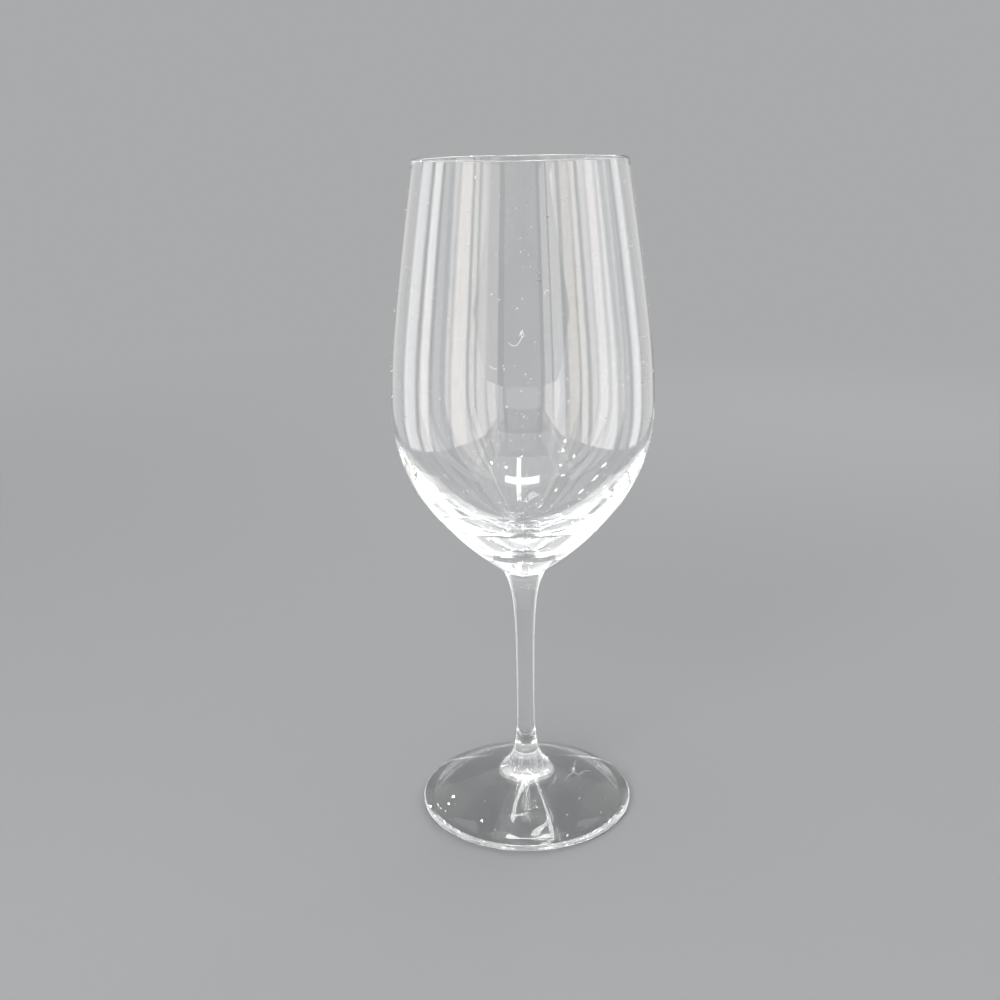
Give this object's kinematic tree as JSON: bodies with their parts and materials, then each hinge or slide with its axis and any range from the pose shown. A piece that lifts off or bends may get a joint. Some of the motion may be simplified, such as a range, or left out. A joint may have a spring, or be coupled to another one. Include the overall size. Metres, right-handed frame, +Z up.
{
  "type": "wine glass",
  "caption": "Tall clear stemmed wine glass with a deep tapered bowl, slim pulled stem and round foot, with a branched hairline crack in the foot.",
  "frame": {"origin": "centre of the ring that the foot rests on, on the glass's own axis", "axes": "+Z up along the axis from the foot to the rim; +X to the side of the foot that is cracked; -Y towards the viewer"},
  "size_m": [0.087, 0.087, 0.225],
  "materials": {
    "clear_glass": "fire-polished, dusty and lightly smudged"
  },
  "bodies": {
    "root": {"wine_glass": "clear_glass"}
  },
  "joints": []
}
